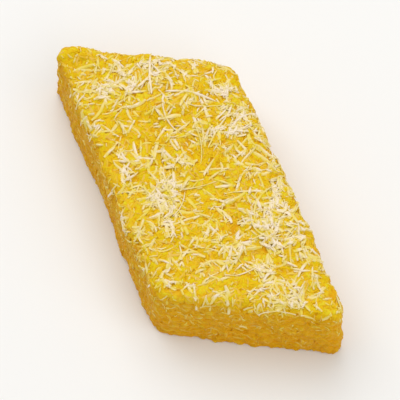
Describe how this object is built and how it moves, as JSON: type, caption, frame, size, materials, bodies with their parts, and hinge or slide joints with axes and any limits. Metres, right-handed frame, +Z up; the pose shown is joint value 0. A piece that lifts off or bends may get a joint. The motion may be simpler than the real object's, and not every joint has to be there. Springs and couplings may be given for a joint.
{
  "type": "baklava piece",
  "caption": "Small lozenge of saffron-yellow coconut paste cut from a slab, its top crusted with matted yellow and white shreds.",
  "frame": {"origin": "centre of the bounding box on the flat base that the piece rests on", "axes": "+Z up through the shredded top, +X along the short sides towards the blunt far right corner, +Y towards the far short side, and the long sides slant from far left to near right"},
  "size_m": [0.0498, 0.0432, 0.0142],
  "materials": {
    "saffron_paste": "satin",
    "coconut_shreds": "matte"
  },
  "bodies": {
    "root": {"baklava_piece": "saffron_paste"}
  },
  "joints": []
}
